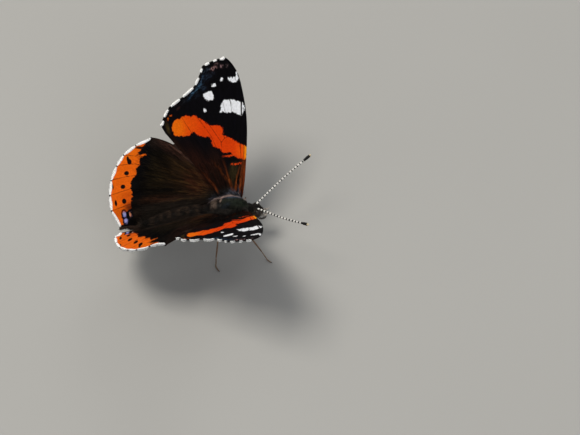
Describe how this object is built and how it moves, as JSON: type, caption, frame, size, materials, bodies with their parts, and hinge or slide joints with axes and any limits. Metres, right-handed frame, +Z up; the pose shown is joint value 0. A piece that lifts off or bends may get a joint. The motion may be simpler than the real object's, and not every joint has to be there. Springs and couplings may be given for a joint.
{
  "type": "red admiral butterfly",
  "caption": "Life-size butterfly standing with its wings held open in a V, dark wings with an orange-red band and white spots.",
  "frame": {"origin": "on the floor, under the middle of the whole length and span", "axes": "+X towards the head, +Y to the butterfly's left, +Z up"},
  "size_m": [0.0464, 0.0544, 0.0298],
  "materials": {
    "body_hair": "hairy, matt",
    "abdomen_hair": "hairy, matt",
    "forewing_scales": "scaled, matt",
    "hindwing_scales": "scaled, matt",
    "eye": "smooth, glossy",
    "antenna": "ringed, satin",
    "palp": "hairy, matt",
    "proboscis": "satin",
    "leg": "scaled, satin"
  },
  "bodies": {
    "root": {"thorax": "body_hair", "head": "body_hair", "abdomen": "abdomen_hair", "forewing_left": "forewing_scales", "forewing_right": "forewing_scales", "hindwing_left": "hindwing_scales", "hindwing_right": "hindwing_scales", "eye_left": "eye", "eye_right": "eye", "antenna_left": "antenna", "antenna_right": "antenna", "palp_left": "palp", "palp_right": "palp", "proboscis": "proboscis", "foreleg_left": "leg", "foreleg_right": "leg", "midleg_left": "leg", "midleg_right": "leg", "hindleg_left": "leg", "hindleg_right": "leg"}
  },
  "joints": []
}
